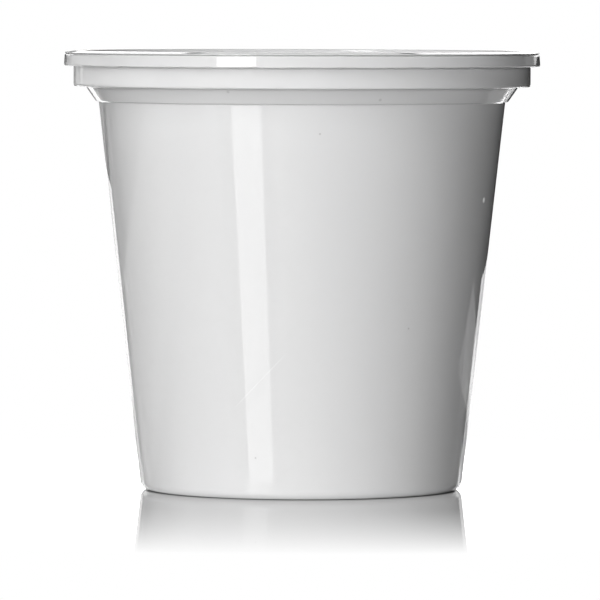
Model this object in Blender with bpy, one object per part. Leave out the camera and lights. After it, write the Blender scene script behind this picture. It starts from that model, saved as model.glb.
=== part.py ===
"""Round plastic tub: a thin-walled injection-moulded pot with a tapered body, open at the top.

Metres, +Z up. The origin is the centre of the ring that the tub stands on. The tub is one turned solid:
half of its cross-section is a list of corners, each with its own rounding, spun about the Z axis. The
inside follows the outside at one wall thickness, from the base up to the mouth.
"""

import math

import bmesh
import bpy
from mathutils import Vector

# Overall
LIP_DIAMETER = 0.0950  # over the lower edge of the lip, the widest place
HEIGHT = 0.0875  # from the table to the highest ring of the rim
WALL = 0.00065

# Base: a standing ring round a panel that is raised clear of the table
BASE_DIAMETER = 0.0639  # where the slope of the body would meet the table
FOOT_ROUNDING = 0.0018
FOOT_FLAT = 0.0014  # width of the flat stretch of the standing ring
PANEL_RISE = 0.0012
PANEL_DRAFT_DEG = 35.0  # lean of the wall between the standing ring and the panel

# Body: a plain cone up to the narrow flat ledge under the neck
BODY_HEIGHT = 0.0774
BODY_DRAFT_DEG = 6.32
LEDGE_WIDTH = 0.00055

# Neck and band: the neck widens up to the stacking band, which stands straight
NECK_SLOPE_DEG = 35.0
BAND_DIAMETER = 0.0911
BAND_BOTTOM = 0.0804

# Lip: a flange that slopes down outwards from the rim, a fine groove under its edge and a short skirt
LIP_FACE = 0.0030  # height of the rim above the lower edge of the skirt
LIP_FLARE = 0.00016  # how far the skirt leans out from top to bottom
LIP_SLOPE_DEG = 9.5
SKIRT_WALL = 0.00075
FLANGE_SETBACK = 0.00006  # of the flange's edge behind the top of the skirt
FLANGE_EDGE = 0.00017  # height of the flange's edge above the groove
EDGE_GROOVE_HEIGHT = 0.00017
EDGE_GROOVE_DEPTH = 0.00024
SKIRT_SHOULDER = 0.0001  # rise from the top of the skirt into the groove

# Roundings
PANEL_ROUNDING = 0.0008
RING_ROUNDING = 0.0004
LEDGE_FILLET = 0.0001
LEDGE_ROUNDING = 0.00025
NECK_ROUNDING = 0.0004
BAND_ROUNDING = 0.0004
GROOVE_ROUNDING = 0.0003
SKIRT_INNER_ROUNDING = 0.0002
SKIRT_ROUNDING = 0.0003
EDGE_ROUNDING = 0.00005
RIM_ROUNDING = 0.00032
LEAST_ROUNDING = 0.0002
INNER_GROWTH = 0.6  # share of the wall that a rounding gains inside, where the ledge leaves room for no more

SEGMENTS = 72  # round the axis
ARC_SAGITTA = 0.00003  # how far a chord of a rounding may lie from its arc

WHITE = (0.86, 0.86, 0.86, 1.0)
ROUGHNESS = 0.22


def clear_scene():
    for obj in list(bpy.data.objects):
        bpy.data.objects.remove(obj, do_unlink=True)


def rim_corner_height(rounding, slope):
    """Where the slope of the lip would meet the mouth's wall, for a rounded rim that tops out at HEIGHT."""
    return HEIGHT - rounding + rounding * (1 + math.sin(slope)) / math.cos(slope)


def shell_corners():
    """Outer corners from the middle of the base up to the foot of the band, each as (point, rounding)."""
    base = BASE_DIAMETER / 2
    foot_tangent = FOOT_ROUNDING * math.tan(math.radians(90 - BODY_DRAFT_DEG) / 2)
    ring_inside = base - foot_tangent - FOOT_FLAT
    panel = ring_inside - PANEL_RISE * math.tan(math.radians(PANEL_DRAFT_DEG))
    body_top = base + BODY_HEIGHT * math.tan(math.radians(BODY_DRAFT_DEG))
    neck_bottom = body_top + LEDGE_WIDTH
    neck_top = neck_bottom + (BAND_BOTTOM - BODY_HEIGHT) * math.tan(math.radians(NECK_SLOPE_DEG))
    return [
        (Vector((0.0, PANEL_RISE)), 0.0),
        (Vector((panel, PANEL_RISE)), PANEL_ROUNDING),
        (Vector((ring_inside, 0.0)), RING_ROUNDING),
        (Vector((base, 0.0)), FOOT_ROUNDING),
        (Vector((body_top, BODY_HEIGHT)), LEDGE_FILLET),
        (Vector((neck_bottom, BODY_HEIGHT)), LEDGE_ROUNDING),
        (Vector((neck_top, BAND_BOTTOM)), NECK_ROUNDING),
        (Vector((BAND_DIAMETER / 2, BAND_BOTTOM)), BAND_ROUNDING),
    ]


def lip_corners():
    """Corners from the top of the band, up the groove behind the skirt and over the lip to the mouth."""
    slope = math.radians(LIP_SLOPE_DEG)
    band = BAND_DIAMETER / 2
    mouth = band - WALL
    lip_bottom = HEIGHT - LIP_FACE
    skirt_bottom = LIP_DIAMETER / 2
    skirt_top = skirt_bottom - LIP_FLARE
    rim_z = rim_corner_height(RIM_ROUNDING, slope)

    def flange_top(radius):
        return rim_z - (radius - mouth) * math.tan(slope)

    flange_drop = SKIRT_WALL / math.cos(slope)
    flange_edge = skirt_top - FLANGE_SETBACK
    groove_floor = skirt_top - EDGE_GROOVE_DEPTH
    groove_top = flange_top(flange_edge) - FLANGE_EDGE
    groove_bottom = groove_top - EDGE_GROOVE_HEIGHT
    return [
        (Vector((band, flange_top(band) - flange_drop)), GROOVE_ROUNDING),
        (Vector((skirt_top - SKIRT_WALL, flange_top(skirt_top - SKIRT_WALL) - flange_drop)), GROOVE_ROUNDING),
        (Vector((skirt_bottom - SKIRT_WALL, lip_bottom)), SKIRT_INNER_ROUNDING),
        (Vector((skirt_bottom, lip_bottom)), SKIRT_ROUNDING),
        (Vector((skirt_top, groove_bottom - SKIRT_SHOULDER)), SKIRT_ROUNDING),
        (Vector((groove_floor, groove_bottom)), EDGE_ROUNDING),
        (Vector((groove_floor, groove_top)), EDGE_ROUNDING),
        (Vector((flange_edge, groove_top)), EDGE_ROUNDING),
        (Vector((flange_edge, flange_top(flange_edge))), EDGE_ROUNDING),
        (Vector((mouth, rim_z)), RIM_ROUNDING),
    ]


def left_normal(start, end):
    along = (end - start).normalized()
    return Vector((-along.y, along.x))


def meeting_point(a, along_a, b, along_b):
    """Where the line through a meets the line through b."""
    across = along_a.x * along_b.y - along_a.y * along_b.x
    gap = b - a
    return a + along_a * ((gap.x * along_b.y - gap.y * along_b.x) / across)


def inner_corners(shell):
    """The shell's corners moved inwards by the wall, each rounding grown or shrunk to follow the outside."""
    points = [point for point, rounding in shell]
    points.append(points[-1] + Vector((0.0, WALL)))  # the band goes on straight up
    inner = [(points[0] + Vector((0.0, WALL)), 0.0)]
    for i in range(1, len(shell)):
        before = left_normal(points[i - 1], points[i])
        after = left_normal(points[i], points[i + 1])
        corner = meeting_point(
            points[i] + before * WALL,
            points[i] - points[i - 1],
            points[i] + after * WALL,
            points[i + 1] - points[i],
        )
        turns_left = before.x * after.y - before.y * after.x > 0
        rounding = shell[i][1] + (-WALL if turns_left else INNER_GROWTH * WALL)
        inner.append((corner, max(rounding, LEAST_ROUNDING)))
    return inner


def rounded(before, corner, after, rounding):
    """Points of the arc that rounds one corner, from the side of before to the side of after."""
    if rounding == 0.0:
        return [corner]
    to_before = (before - corner).normalized()
    to_after = (after - corner).normalized()
    half = to_before.angle(to_after) / 2
    start = corner + to_before * (rounding / math.tan(half))
    centre = corner + (to_before + to_after).normalized() * (rounding / math.sin(half))
    turn = math.pi - 2 * half
    if to_before.x * to_after.y - to_before.y * to_after.x > 0:
        turn = -turn
    largest_step = 2 * math.acos(1 - ARC_SAGITTA / rounding)
    steps = math.ceil(abs(turn) / largest_step)
    arc = []
    for k in range(steps + 1):
        angle = turn * k / steps
        spoke = start - centre
        cos, sin = math.cos(angle), math.sin(angle)
        arc.append(centre + Vector((spoke.x * cos - spoke.y * sin, spoke.x * sin + spoke.y * cos)))
    return arc


def section():
    """The half section as points from the axis under the base, round the lip and back to the axis inside."""
    shell = shell_corners()
    corners = shell + lip_corners() + inner_corners(shell)[::-1]
    outline = [corners[0][0]]
    for i in range(1, len(corners) - 1):
        corner, rounding = corners[i]
        outline += rounded(corners[i - 1][0], corner, corners[i + 1][0], rounding)
    outline.append(corners[-1][0])
    return outline


def turned_mesh(name, outline):
    mesh = bpy.data.meshes.new(name)
    bm = bmesh.new()
    ring = [bm.verts.new((point.x, 0.0, point.y)) for point in outline]
    edges = [bm.edges.new(pair) for pair in zip(ring, ring[1:])]
    bmesh.ops.spin(
        bm,
        geom=ring + edges,
        cent=(0.0, 0.0, 0.0),
        axis=(0.0, 0.0, 1.0),
        angle=math.tau,
        steps=SEGMENTS,
        use_merge=True,
    )
    bmesh.ops.remove_doubles(bm, verts=bm.verts, dist=1e-6)  # the copies of the two points on the axis
    bmesh.ops.recalc_face_normals(bm, faces=bm.faces)
    bm.to_mesh(mesh)
    bm.free()
    mesh.shade_smooth()
    mesh.set_sharp_from_angle(angle=math.radians(40))
    return mesh


def white_plastic():
    material = bpy.data.materials.new("white_polypropylene")
    material.use_nodes = True
    shader = material.node_tree.nodes["Principled BSDF"]
    shader.inputs["Base Color"].default_value = WHITE
    shader.inputs["Roughness"].default_value = ROUGHNESS
    shader.inputs["Metallic"].default_value = 0.0
    return material


def build_tub():
    mesh = turned_mesh("tub", section())
    mesh.materials.append(white_plastic())
    tub = bpy.data.objects.new("tub", mesh)
    bpy.context.scene.collection.objects.link(tub)


clear_scene()
build_tub()
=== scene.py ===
import math

import bpy
import numpy as np
from mathutils import Matrix, Vector


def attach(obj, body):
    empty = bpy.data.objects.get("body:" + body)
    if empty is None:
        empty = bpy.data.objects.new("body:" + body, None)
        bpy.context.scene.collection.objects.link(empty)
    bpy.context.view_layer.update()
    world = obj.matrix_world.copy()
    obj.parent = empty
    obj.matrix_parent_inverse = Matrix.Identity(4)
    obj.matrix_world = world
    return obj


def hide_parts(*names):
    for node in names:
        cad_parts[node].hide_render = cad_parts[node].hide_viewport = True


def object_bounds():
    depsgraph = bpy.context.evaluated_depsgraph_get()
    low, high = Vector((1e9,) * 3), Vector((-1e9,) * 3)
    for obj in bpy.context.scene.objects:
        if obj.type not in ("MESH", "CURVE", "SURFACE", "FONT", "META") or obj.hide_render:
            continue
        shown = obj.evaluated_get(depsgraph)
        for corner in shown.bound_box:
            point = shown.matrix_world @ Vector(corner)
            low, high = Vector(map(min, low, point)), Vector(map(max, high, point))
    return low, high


mm = 0.001
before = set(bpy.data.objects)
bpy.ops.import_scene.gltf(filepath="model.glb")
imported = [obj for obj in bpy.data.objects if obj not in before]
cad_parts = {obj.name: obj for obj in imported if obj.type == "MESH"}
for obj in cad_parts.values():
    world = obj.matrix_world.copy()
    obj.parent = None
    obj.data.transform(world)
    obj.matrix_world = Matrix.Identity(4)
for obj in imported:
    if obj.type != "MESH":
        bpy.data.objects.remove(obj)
cadLow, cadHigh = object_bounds()
print("frame loaded:", sorted(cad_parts))


# one socket that plain Python maths can work on: each operator adds its Math node
class Value:
    def __init__(self, tree, socket):
        self.tree = tree
        self.socket = socket

    def maths(self, operation, first, second=None):
        inputs = {0: first} if second is None else {0: first, 1: second}
        return self.tree.add("ShaderNodeMath", {"operation": operation}, inputs)

    def __add__(self, other):
        return self.maths("ADD", self, other)

    def __sub__(self, other):
        return self.maths("SUBTRACT", self, other)

    def __rsub__(self, other):
        return self.maths("SUBTRACT", other, self)

    def __mul__(self, other):
        return self.maths("MULTIPLY", self, other)

    def least(self, other):
        return self.maths("MINIMUM", self, other)

    def most(self, other):
        return self.maths("MAXIMUM", self, other)

    def smooth(self, low, high):  # 0 up to low, 1 from high on
        ends = {"Value": self, "From Min": low, "From Max": high}
        return self.tree.add("ShaderNodeMapRange", {"interpolation_type": "SMOOTHSTEP"}, ends)

    def absolute(self):
        return self.maths("ABSOLUTE", self)


class ShaderTree:
    def __init__(self, owner, outputKind):
        owner.use_nodes = True
        self.owner = owner
        self.nodes = owner.node_tree.nodes
        self.links = owner.node_tree.links
        self.nodes.clear()
        self.output = self.nodes.new(outputKind)

    def add(self, kind, settings=None, inputs=None, output=0):
        node = self.nodes.new(kind)
        for name, setting in (settings or {}).items():
            setattr(node, name, setting)
        for name, value in (inputs or {}).items():
            if isinstance(value, Value):
                self.links.new(value.socket, node.inputs[name])
            else:
                node.inputs[name].default_value = value
        return Value(self, node.outputs[output])

    def vector(self, operation, first, second, output=0):
        return self.add("ShaderNodeVectorMath", {"operation": operation}, {0: first, 1: second}, output)

    def fromAxis(self, place):
        flat = self.vector("MULTIPLY", place, (1, 1, 0))
        return self.add("ShaderNodeVectorMath", {"operation": "LENGTH"}, {0: flat}, "Value")

    def finish(self, shader):
        self.links.new(shader.socket, self.output.inputs["Surface"])
        return self.owner


def newMaterial(name):
    return ShaderTree(bpy.data.materials.new(name), "ShaderNodeOutputMaterial")


tub = {
    "wall": 0.65 * mm,
    "baseDiameter": 63.9 * mm,  # where the slope of the body would meet the table
    "footRounding": 1.8 * mm,
    "footFlat": 1.4 * mm,
    "panelRise": 1.2 * mm,
    "panelDraft": 35.0,
    "gateNub": (0.7 * mm, 0.3 * mm),  # radius and depth of the moulding's mark under the panel
    "bodyHeight": 77.4 * mm,  # up to the ledge under the neck
    "bodyDraft": 6.32,
    "ledgeWidth": 0.55 * mm,
    "neckSlope": 35.0,
    "bandDiameter": 91.1 * mm,
    "bandBottom": 80.4 * mm,
    "lipFace": 3.0 * mm,  # from the lower edge of the skirt up to the rim
    "lipFlare": 0.16 * mm,
    "lipSlope": 9.5,
    "skirtWall": 0.75 * mm,
    "flangeSetback": 0.06 * mm,  # of the flange's edge behind the top of the skirt
    "flangeEdge": 0.17 * mm,  # height of that edge above the fine groove
    "edgeGrooveHeight": 0.17 * mm,
    "edgeGrooveDepth": 0.24 * mm,
    "skirtShoulder": 0.1 * mm,
    "roundings": {
        "panel": 0.8 * mm, "ring": 0.4 * mm, "ledgeFillet": 0.28 * mm, "ledge": 0.5 * mm, "neck": 0.4 * mm,
        "band": 0.4 * mm, "groove": 0.3 * mm, "skirtInner": 0.2 * mm, "skirt": 0.3 * mm, "edge": 0.05 * mm,
        "rim": 0.32 * mm, "least": 0.2 * mm,
    },
    "innerGrowth": 0.6,  # share of the wall that a rounding gains inside
    "segments": 360,
    "arcStep": 15.0,  # degrees between two points of a rounding
    "longest": 3.0 * mm,  # longest stretch between two points of a straight
    "hold": 0.12 * mm,  # how close to a rounding the straight gets its first point
}


def tangent(degrees):
    return math.tan(math.radians(degrees))


def shellCorners(t):
    rounding = t["roundings"]
    base = t["baseDiameter"] / 2
    ringInside = base - t["footRounding"] * tangent((90 - t["bodyDraft"]) / 2) - t["footFlat"]
    panel = ringInside - t["panelRise"] * tangent(t["panelDraft"])
    bodyTop = base + t["bodyHeight"] * tangent(t["bodyDraft"])
    neckBottom = bodyTop + t["ledgeWidth"]
    neckTop = neckBottom + (t["bandBottom"] - t["bodyHeight"]) * tangent(t["neckSlope"])
    return [
        (Vector((0, t["panelRise"])), 0),
        (Vector((panel, t["panelRise"])), rounding["panel"]),
        (Vector((ringInside, 0)), rounding["ring"]),
        (Vector((base, 0)), t["footRounding"]),
        (Vector((bodyTop, t["bodyHeight"])), rounding["ledgeFillet"]),
        (Vector((neckBottom, t["bodyHeight"])), rounding["ledge"]),
        (Vector((neckTop, t["bandBottom"])), rounding["neck"]),
        (Vector((t["bandDiameter"] / 2, t["bandBottom"])), rounding["band"]),
    ]


def lipCorners(t, lipRadius, top):
    rounding = t["roundings"]
    slope = math.radians(t["lipSlope"])
    band = t["bandDiameter"] / 2
    mouth = band - t["wall"]
    skirtTop = lipRadius - t["lipFlare"]
    rimCorner = top - rounding["rim"] + rounding["rim"] * (1 + math.sin(slope)) / math.cos(slope)
    drop = t["skirtWall"] / math.cos(slope)

    def flange(radius):
        return rimCorner - (radius - mouth) * math.tan(slope)

    skirtInside = skirtTop - t["skirtWall"]
    flangeEdge = skirtTop - t["flangeSetback"]
    grooveFloor = skirtTop - t["edgeGrooveDepth"]
    grooveTop = flange(flangeEdge) - t["flangeEdge"]
    grooveBottom = grooveTop - t["edgeGrooveHeight"]
    return [
        (Vector((band, flange(band) - drop)), rounding["groove"]),
        (Vector((skirtInside, flange(skirtInside) - drop)), rounding["groove"]),
        (Vector((lipRadius - t["skirtWall"], top - t["lipFace"])), rounding["skirtInner"]),
        (Vector((lipRadius, top - t["lipFace"])), rounding["skirt"]),
        (Vector((skirtTop, grooveBottom - t["skirtShoulder"])), rounding["skirt"]),
        (Vector((grooveFloor, grooveBottom)), rounding["edge"]),
        (Vector((grooveFloor, grooveTop)), rounding["edge"]),
        (Vector((flangeEdge, grooveTop)), rounding["edge"]),
        (Vector((flangeEdge, flange(flangeEdge))), rounding["edge"]),
        (Vector((mouth, rimCorner)), rounding["rim"]),
    ]


def innerCorners(shell, wall, growth, least):
    points = [point for point, rounding in shell]
    points.append(points[-1] + Vector((0, wall)))
    inner = [(points[0] + Vector((0, wall)), 0)]
    for i in range(1, len(shell)):
        before = (points[i] - points[i - 1]).normalized()
        after = (points[i + 1] - points[i]).normalized()
        start = points[i - 1] + Vector((-before.y, before.x)) * wall
        goal = points[i] + Vector((-after.y, after.x)) * wall
        gap = goal - start
        along = (gap.x * after.y - gap.y * after.x) / (before.x * after.y - before.y * after.x)
        turnsLeft = before.x * after.y - before.y * after.x > 0
        rounding = shell[i][1] + (-wall if turnsLeft else wall * growth)
        inner.append((start + before * along, max(rounding, least)))
    return inner


def arc(before, corner, after, rounding, step):
    toBefore = (before - corner).normalized()
    toAfter = (after - corner).normalized()
    half = toBefore.angle(toAfter) / 2
    start = corner + toBefore * (rounding / math.tan(half))
    centre = corner + (toBefore + toAfter).normalized() * (rounding / math.sin(half))
    turn = math.pi - 2 * half
    if toBefore.x * toAfter.y - toBefore.y * toAfter.x > 0:
        turn = -turn
    steps = max(3, math.ceil(abs(math.degrees(turn)) / step))
    spoke = start - centre
    points = []
    for k in range(steps + 1):
        cos, sin = math.cos(turn * k / steps), math.sin(turn * k / steps)
        points.append(centre + Vector((spoke.x * cos - spoke.y * sin, spoke.x * sin + spoke.y * cos)))
    return points


def straight(start, end, longest, hold):
    # points strictly between start and end, one of them close to each, so that flats stay flat when smoothed
    length = (end - start).length
    if length < 3 * hold:
        return []
    count = max(1, math.ceil((length - 2 * hold) / longest))
    along = (end - start) / length
    return [start + along * (hold + (length - 2 * hold) * k / count) for k in range(count + 1)]


def tubOutline(t, lipRadius, top):
    shell = shellCorners(t)
    nubRadius, nubDepth = t["gateNub"]
    nubBottom = t["panelRise"] - nubDepth
    nub = [
        (Vector((0, nubBottom)), 0),
        (Vector((nubRadius, nubBottom)), nubDepth / 3),
        (Vector((nubRadius + nubDepth / 3, t["panelRise"])), nubDepth / 3),
    ]
    corners = nub + shell[1:] + lipCorners(t, lipRadius, top)
    corners += innerCorners(shell, t["wall"], t["innerGrowth"], t["roundings"]["least"])[::-1]
    outline = [corners[0][0]]
    for i in range(1, len(corners)):
        corner, rounding = corners[i]
        turn = [corner]
        if i < len(corners) - 1:
            turn = arc(corners[i - 1][0], corner, corners[i + 1][0], rounding, t["arcStep"])
        outline += straight(outline[-1], turn[0], t["longest"], t["hold"]) + turn
    return outline


def turned(name, outline, segments):
    # the first and last points lie on the axis
    angles = np.linspace(0, math.tau, segments, endpoint=False)
    ring = np.array([(p.x, p.y) for p in outline[1:-1]])
    points = np.empty((len(ring), segments, 3))
    points[:, :, 0] = ring[:, :1] * np.cos(angles)
    points[:, :, 1] = ring[:, :1] * np.sin(angles)
    points[:, :, 2] = ring[:, 1:]
    points = points.reshape(-1, 3).tolist()
    bottom, inside = len(points), len(points) + 1
    points += [(0, 0, outline[0].y), (0, 0, outline[-1].y)]
    faces = []
    for k in range(segments):
        after = (k + 1) % segments
        faces.append((bottom, after, k))
        for row in range(len(ring) - 1):
            low, high = row * segments, (row + 1) * segments
            faces.append((low + k, low + after, high + after, high + k))
        lastRow = (len(ring) - 1) * segments
        faces.append((lastRow + k, lastRow + after, inside))
    mesh = bpy.data.meshes.new(name)
    mesh.from_pydata(points, [], faces)
    mesh.shade_smooth()
    piece = bpy.data.objects.new(name, mesh)
    bpy.context.scene.collection.objects.link(piece)
    return piece


wavyLip = {
    "seed": 11,
    "height": 0.075 * mm,  # how far the lower edge of the skirt strays up or down
    "reach": 0.9 * mm,  # how far up the skirt that is felt
    "inwards": 1.6,  # and how far in, in walls of the skirt
    "waves": (19, 31, 44, 57),  # round the lip
    "calm": 5,  # quiet stretches round the lip
}


def wave(angles, w):
    # sines with random phases that swell and die down round the lip, from -1 to 1
    draw = np.random.default_rng(w["seed"])
    total = np.zeros_like(angles)
    for count in w["waves"]:
        swell = 0.5 + 0.5 * np.sin(w["calm"] * angles + draw.uniform(0, math.tau))
        total += swell * np.sin(count * angles + draw.uniform(0, math.tau))
    return total / np.abs(total).max()


def makeUneven(piece, w, t, lipRadius, lipBottom):
    points = np.empty(len(piece.data.vertices) * 3)
    piece.data.vertices.foreach_get("co", points)
    points = points.reshape(-1, 3)
    radius = np.hypot(points[:, 0], points[:, 1])
    share = np.clip(1 - (points[:, 2] - lipBottom) / w["reach"], 0, 1)
    share[radius < lipRadius - w["inwards"] * t["skirtWall"]] = 0
    share[points[:, 2] < lipBottom - w["height"]] = 0
    points[:, 2] += w["height"] * share * wave(np.arctan2(points[:, 1], points[:, 0]), w)
    piece.data.vertices.foreach_set("co", points.ravel())
    piece.data.update()


plastic = {
    "white": (0.86, 0.86, 0.86, 1),
    "flowed": (0.845, 0.846, 0.85, 1),  # where the melt ran last
    "flowScale": (38, 38, 6),  # swirls per metre, drawn out up the wall
    "flowEdges": (0.35, 0.7),
    "mottle": (0.848, 0.848, 0.848, 1),
    "mottleScale": 420,
    "mottleEdges": (0.4, 0.75),
    "mottleShare": 0.5,
    "roughness": 0.03,
    "roughnessStray": 0.012,
    "peelScale": 330,  # waves per metre of the moulded skin
    "peelDepth": 0.003 * mm,
    "ior": 1.49,
    "softness": 1.0,  # share of the light that wanders through the wall before it leaves
    "wander": 0.35 * mm,
    "dirt": (0.16, 0.15, 0.14, 1),
    "paintedGrooveShade": (0.3, 0.3, 0.3, 1),  # painted shade in the fine groove of the lip
    "paintedGrooveShadeShare": 0.7,
    "paintedGrooveShadeEdges": (0.8, 1.2),  # in half heights of the groove
    "paintedGrooveShadeDepth": 0.1 * mm,
    "specks": (  # azimuth from the front, height, radius, darkness
        (-15.73, 8.24 * mm, 0.26 * mm, 0.3),
        (5.02, 71.7 * mm, 0.28 * mm, 0.3),
        (35.98, 33.49 * mm, 0.28 * mm, 0.25),
        (-19.6, 79.8 * mm, 0.45 * mm, 0.2),
        (21.31, 78.3 * mm, 0.45 * mm, 0.2),
        (131.0, 44.0 * mm, 0.25 * mm, 0.3),
        (-118.0, 21.0 * mm, 0.25 * mm, 0.3),
    ),
    "speckCore": 0.3,  # share of the radius that is fully dark
    "paintedGlowSpot": (69.5, 58.2 * mm, 0.75 * mm),  # a pale spot of painted glow: the skin's own emission, with no lamp
    "paintedGlowSpotCore": 0.4,
    "paintedGlowStrength": 0.38,
    "scratch": ((-3.93, 29.36 * mm), (-23.91, 17.19 * mm)),
    "scratchWidth": 0.2 * mm,
    "scratchCore": 0.2,  # share of the width, and of the length below, that is fully scratched
    "scratchRun": 0.6,
    "scratchDepth": 0.004 * mm,
    "scratchRoughness": 0.3,
    "scratchTone": (0.93, 0.93, 0.93, 1),
}


def onBody(azimuth, height, t):
    radius = t["baseDiameter"] / 2 + height * tangent(t["bodyDraft"])
    if height > t["bodyHeight"]:
        rise = height - t["bodyHeight"]
        radius += t["ledgeWidth"] + rise * (tangent(t["neckSlope"]) - tangent(t["bodyDraft"]))
    turn = math.radians(azimuth)
    return Vector((radius * math.sin(turn), -radius * math.cos(turn), height))


def whitePlastic(p, t, groove):
    m = newMaterial("whitePlastic")
    place = m.add("ShaderNodeTexCoord", output="Object")

    def cloud(vector, scale, detail):
        return m.add("ShaderNodeTexNoise", None, {"Vector": vector, "Scale": scale, "Detail": detail})

    def mixed(share, first, second):
        return m.add("ShaderNodeMix", {"data_type": "RGBA"}, {0: share, 6: first, 7: second}, 2)

    def awayFrom(point):
        return m.vector("DISTANCE", place, point, "Value")

    flow = cloud(m.vector("MULTIPLY", place, p["flowScale"]), 1.0, 3.0).smooth(*p["flowEdges"])
    mottle = cloud(place, p["mottleScale"], 2.0).smooth(*p["mottleEdges"]) * p["mottleShare"]
    peel = cloud(place, p["peelScale"], 1.0)
    tone = mixed(mottle, mixed(flow, p["white"], p["flowed"]), p["mottle"])
    for azimuth, height, radius, darkness in p["specks"]:
        away = awayFrom(onBody(azimuth, height, t))
        spot = (1 - away.smooth(p["speckCore"] * radius, radius)) * darkness
        tone = mixed(spot, tone, p["dirt"])

    # painted shade: the colour darkens in the fine groove of the lip, where shade falls
    low, high = groove
    offGroove = m.vector("DOT_PRODUCT", place, (0, 0, 1), "Value") - (low.y + high.y) / 2
    nearEdge, farEdge = (edge * (high.y - low.y) / 2 for edge in p["paintedGrooveShadeEdges"])
    inGroove = 1 - offGroove.absolute().smooth(nearEdge, farEdge)
    paintedGrooveShade = inGroove * m.fromAxis(place).smooth(low.x - p["paintedGrooveShadeDepth"], low.x) * p["paintedGrooveShadeShare"]
    tone = mixed(paintedGrooveShade, tone, p["paintedGrooveShade"])

    # painted glow: a pale spot lit by the material's own emission
    azimuth, height, radius = p["paintedGlowSpot"]
    paintedGlowSpot = 1 - awayFrom(onBody(azimuth, height, t)).smooth(p["paintedGlowSpotCore"] * radius, radius)
    paintedGlow = mixed(paintedGlowSpot, (0, 0, 0, 1), p["white"])

    start, end = (onBody(azimuth, height, t) for azimuth, height in p["scratch"])
    middle = (start + end) / 2
    outward = Vector((middle.x, middle.y, 0)).normalized()
    across = (end - start).cross(outward).normalized()
    half = (end - start).length / 2
    offLine = m.vector("DOT_PRODUCT", m.vector("SUBTRACT", place, middle), across, "Value")
    width = p["scratchWidth"] / 2
    onLine = 1 - offLine.absolute().smooth(p["scratchCore"] * width, width)
    scratch = onLine * (1 - awayFrom(middle).smooth(p["scratchRun"] * half, half))
    tone = mixed(scratch, tone, p["scratchTone"])

    height = peel * p["peelDepth"] - scratch * p["scratchDepth"]
    bump = m.add("ShaderNodeBump", None, {"Strength": 1.0, "Distance": 1.0, "Height": height})
    return m.finish(m.add("ShaderNodeBsdfPrincipled", None, {
        "Base Color": tone,
        "Roughness": flow * p["roughnessStray"] + p["roughness"] + scratch * p["scratchRoughness"],
        "IOR": p["ior"],
        "Subsurface Weight": p["softness"],
        "Subsurface Radius": (1, 1, 1),
        "Subsurface Scale": p["wander"],
        "Emission Color": paintedGlow,
        "Emission Strength": p["paintedGlowStrength"],
        "Normal": bump,
    }))


lipRadius = (cadHigh.x - cadLow.x) / 2
shell = turned("tubShell", tubOutline(tub, lipRadius, cadHigh.z), tub["segments"])
makeUneven(shell, wavyLip, tub, lipRadius, cadHigh.z - tub["lipFace"])
groove = [corner for corner, rounding in lipCorners(tub, lipRadius, cadHigh.z)[5:7]]
shell.data.materials.append(whitePlastic(plastic, tub, groove))
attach(shell, "root")
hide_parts("tub")
print("tub turned:", len(shell.data.polygons), "faces")


shownFloor = {
    "size": 8.0,
    "height": -0.02 * mm,
    "white": 1.0,
    "mirrorShare": 1.42,  # of what a glossy floor of the index below mirrors
    "mirrorIndex": 1.5,
    "mirrorTone": 0.7,
    "mirrorFar": 162 * mm,  # from the axis to where the mirror image is gone
    "mirrorMost": 0.8,
    "footNear": 31 * mm,  # nothing but mirror up to here, so the floor's white is left out: painted contact shade at the foot
    "footFar": 35 * mm,
}

bounceFloor = {
    "size": 1.8,
    "window": ((-25, -40), (-360, -340), (-130, -480), (-6, -44)),  # mm; glossy rays pass through it
    "shadeNear": 29.5 * mm,  # painted shade up to here from the axis, where the foot shuts out the light
    "shadeFar": 31 * mm,
    "dimNear": 0.3,  # and dimmer again far out
    "dimFar": 0.6,
    "dimmed": 0.7,
    "height": -0.06 * mm,
    "grey": 0.86,
    "paintedShadeFall": 0.24,  # painted shade: lost from the left side to the right, where less light falls
    "paintedShadeSpan": (-60 * mm, 100 * mm),
    "roughness": 0.02,
    "ior": 1.49,
}

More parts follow.
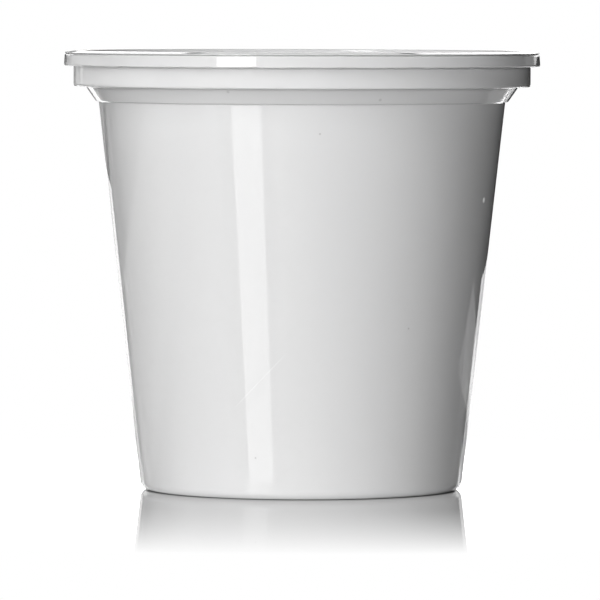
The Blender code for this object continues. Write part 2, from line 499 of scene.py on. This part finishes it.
# azimuth 0 is the camera's side, plus to the right; pitch tips a lamp down from level, lean turns it in
# its own plane, and aside shifts it along its own width
usualLamp = {"pitch": 0, "lean": 0, "aside": 0, "rays": ("glossy",)}
lamps = {
    "strip": {
        "azimuth": -31, "distance": 1.0, "height": 0.745, "width": 0.335, "tall": 1.31,
        "radiance": 9.0,
    },
    "stripBelow": {  # its mirror image, seen through the window in the bounce floor
        "azimuth": -22, "distance": 1.0, "height": -0.524, "width": 0.285, "tall": 1.0,
        "lean": 25, "radiance": 2.7,
    },
    "stripSoft": {
        "azimuth": -29, "distance": 1.0, "height": 0.745, "width": 0.335, "tall": 1.31,
        "radiance": 6.75, "rays": ("diffuse", "transmission", "volume_scatter", "shadow"),
    },
    "frontFill": {
        "azimuth": 0, "distance": 1.8, "height": 0.25, "pitch": 6, "width": 0.8, "tall": 0.3,
        "radiance": 15.2, "rays": ("diffuse",),
    },
    "backFill": {
        "azimuth": 180, "distance": 1.8, "height": 0.25, "pitch": 6, "width": 0.8, "tall": 0.3,
        "radiance": 9, "rays": ("diffuse",),
    },
    "backPanel": {
        "azimuth": 180, "distance": 2.5, "height": 0.58, "width": 2.4, "tall": 0.56,
        "radiance": 2.0,
    },
    "highPanel": {
        "azimuth": 180, "distance": 2.4, "height": 1.08, "width": 2.4, "tall": 0.44,
        "radiance": 1.1,
    },
    "endCard": {  # seen by the two ends of the flange
        "azimuth": 180, "distance": 2.5, "height": 0.235, "width": 0.3, "tall": 0.15,
        "radiance": 2.0,
    },
    "leftLow": {
        "azimuth": -160.7, "distance": 0.212, "height": 0.0104, "width": 0.0515, "tall": 0.09,
        "aside": -0.01375, "lean": -11.9, "radiance": 0.9,
    },
    "leftLowOuter": {
        "azimuth": -160.7, "distance": 0.212, "height": 0.0104, "width": 0.0275, "tall": 0.09,
        "aside": 0.02575, "lean": -11.9, "radiance": 1.3,
    },
    "rightLow": {
        "azimuth": 160, "distance": 0.215, "height": -0.0117, "width": 0.06, "tall": 0.09,
        "aside": 0.013, "lean": 10.3, "radiance": 0.85,
    },
    "rightLowOuter": {
        "azimuth": 160, "distance": 0.215, "height": -0.0117, "width": 0.026, "tall": 0.09,
        "aside": -0.03, "lean": 10.3, "radiance": 1.3,
    },
    "neckLeft": {  # behind the two ends of the neck
        "azimuth": -165, "distance": 0.21, "height": 0.0762, "width": 0.06, "tall": 0.004,
        "radiance": 0.85,
    },
    "neckRight": {
        "azimuth": 165, "distance": 0.21, "height": 0.0762, "width": 0.06, "tall": 0.004,
        "radiance": 0.85,
    },
    "leftWall": {
        "azimuth": -112, "distance": 0.9, "height": 0.1035, "width": 1.3, "tall": 0.083,
        "radiance": 1.0,
    },
    "leftWallEnd": {
        "azimuth": -153.5, "distance": 1.05, "height": 0.1055, "width": 0.2, "tall": 0.079,
        "radiance": 0.45,
    },
    "sideCard": {
        "azimuth": 164, "distance": 0.94, "height": 0.15, "width": 0.5, "tall": 0.1,
        "radiance": 1.1,
    },
    "cornerCard": {
        "azimuth": 142, "distance": 1.1, "height": 0.15, "width": 0.28, "tall": 0.1,
        "radiance": 0.35,
    },
    "leftCard": {
        "azimuth": -162, "distance": 1.25, "height": 0.041, "width": 0.8, "tall": 0.076,
        "radiance": 0.38,
    },
    "neckGlow": {  # lies face up on the floor, behind the tub on its right
        "azimuth": 147, "distance": 0.262, "height": -0.04 * mm, "pitch": -90, "width": 0.18, "tall": 0.2,
        "radiance": 0.4,
    },
}

surround = {
    "shown": 1.0,  # what the camera sees
    "mirrored": 1.45,  # what the shown floor's mirror sees
    "light": 0.01,  # what lights the tub
}


def square(size):
    half = size / 2
    return [(-half, -half), (half, -half), (half, half), (-half, half)]


def stagePlane(name, corners, faces, height, material):
    mesh = bpy.data.meshes.new(name)
    mesh.from_pydata([(x, y, height) for x, y in corners], [], faces)
    mesh.materials.append(material)
    piece = bpy.data.objects.new(name, mesh)
    bpy.context.scene.collection.objects.link(piece)
    return piece


def seenOnlyBy(piece, rays):
    for ray in ("camera", "diffuse", "glossy", "transmission", "volume_scatter", "shadow"):
        setattr(piece, "visible_" + ray, ray in rays)


def shownFloorMaterial(f):
    m = newMaterial("shownFloor")
    position = m.add("ShaderNodeNewGeometry")
    fromAxis = m.fromAxis(position)
    outwards = fromAxis * (1 / f["mirrorFar"])
    fade = (1 - outwards * outwards).most(0.0)
    # painted contact shade: the floor's white gives way to the mirror round the foot
    paintedFootShade = 1 - fromAxis.smooth(f["footNear"], f["footFar"])
    share = m.add("ShaderNodeFresnel", None, {"IOR": f["mirrorIndex"]}) * f["mirrorShare"] * fade
    share = share.least(f["mirrorMost"]).most(paintedFootShade)
    white = m.add("ShaderNodeEmission", None, {"Color": (1, 1, 1, 1), "Strength": f["white"]})
    tone = (f["mirrorTone"], f["mirrorTone"], f["mirrorTone"], 1)
    mirror = m.add("ShaderNodeBsdfGlossy", None, {"Color": tone, "Roughness": 0.0})
    return m.finish(m.add("ShaderNodeMixShader", None, {0: share, 1: white, 2: mirror}))


def bounceFloorMaterial(f):
    m = newMaterial("bounceFloor")
    position = m.add("ShaderNodeNewGeometry")
    fromAxis = m.fromAxis(position)
    sideways = m.vector("DOT_PRODUCT", position, (1, 0, 0), "Value")
    # painted shade: the floor darker on its right, where less light falls
    grey = f["grey"] - sideways.smooth(*f["paintedShadeSpan"]) * f["paintedShadeFall"]
    # painted shade under the foot
    grey = grey * fromAxis.smooth(f["shadeNear"], f["shadeFar"])
    return m.finish(m.add("ShaderNodeBsdfPrincipled", None, {
        "Base Color": grey * (1 - fromAxis.smooth(f["dimNear"], f["dimFar"]) * f["dimmed"]),
        "Roughness": f["roughness"],
        "IOR": f["ior"],
    }))


def addLamp(name, settings):
    s = usualLamp | settings
    turn = math.radians(s["azimuth"])
    light = bpy.data.lights.new(name, "AREA")
    light.shape = "RECTANGLE"
    light.size, light.size_y = s["width"], s["tall"]
    light.energy = s["radiance"] * math.pi * s["width"] * s["tall"]
    lamp = bpy.data.objects.new(name, light)
    facing = Matrix.Rotation(turn, 3, "Z") @ Matrix.Rotation(math.radians(90 - s["pitch"]), 3, "X")
    facing = facing @ Matrix.Rotation(math.radians(s["lean"]), 3, "Z")
    lamp.location = (s["distance"] * math.sin(turn), -s["distance"] * math.cos(turn), s["height"])
    lamp.location += facing @ Vector((s["aside"], 0, 0))
    lamp.rotation_euler = facing.to_euler()
    seenOnlyBy(lamp, s["rays"])
    bpy.context.scene.collection.objects.link(lamp)


def surroundWorld(s):
    w = ShaderTree(bpy.data.worlds.new("surround"), "ShaderNodeOutputWorld")
    fromCamera = w.add("ShaderNodeLightPath", output="Is Camera Ray")
    fromMirror = w.add("ShaderNodeLightPath", output="Is Singular Ray")

    def background(strength):
        return w.add("ShaderNodeBackground", None, {"Color": (1, 1, 1, 1), "Strength": strength})

    def chosen(share, first, second):
        return w.add("ShaderNodeMixShader", None, {0: share, 1: first, 2: second})

    unseen = chosen(fromMirror, background(s["light"]), background(s["mirrored"]))
    bpy.context.scene.world = w.finish(chosen(fromCamera, unseen, background(s["shown"])))


shownMaterial = shownFloorMaterial(shownFloor)
corners = square(shownFloor["size"])
shown = stagePlane("shownFloor", corners, [(0, 1, 2, 3)], shownFloor["height"], shownMaterial)
seenOnlyBy(shown, ["camera"])
bounceMaterial = bounceFloorMaterial(bounceFloor)
nearLeft, farLeft, farRight, nearRight = ((x * mm, y * mm) for x, y in bounceFloor["window"])
window = [farLeft, farRight, nearRight, nearLeft]
around = [(k, (k + 1) % 4, (k + 1) % 4 + 4, k + 4) for k in range(4)]
corners = square(bounceFloor["size"]) + window
bounce = stagePlane("bounceFloor", corners, around, bounceFloor["height"], bounceMaterial)
seenOnlyBy(bounce, ["diffuse", "glossy", "shadow"])
pane = stagePlane("floorWindow", window, [(0, 1, 2, 3)], bounceFloor["height"], bounceMaterial)
seenOnlyBy(pane, ["diffuse", "shadow"])
for name, settings in lamps.items():
    addLamp(name, settings)
surroundWorld(surround)
print("studio lit")


view = {
    "distance": 1.37,
    "height": 0.0981,
    "aside": -0.0003,
    "pitchDown": 2.522,
    "roll": 0.15,
    "sensor": 36.0,
    "focal": 412.0,
}


def addCamera(v):
    data = bpy.data.cameras.new("camera")
    data.sensor_width = v["sensor"]
    data.lens = v["focal"]
    camera = bpy.data.objects.new("camera", data)
    camera.location = (v["aside"], -v["distance"], v["height"])
    tilt = Matrix.Rotation(math.radians(90 - v["pitchDown"]), 3, "X")
    roll = Matrix.Rotation(math.radians(v["roll"]), 3, "Z")
    camera.rotation_euler = (tilt @ roll).to_euler()
    bpy.context.scene.collection.objects.link(camera)
    bpy.context.scene.camera = camera
    bpy.context.scene.view_settings.view_transform = "Standard"


addCamera(view)
print("camera set")
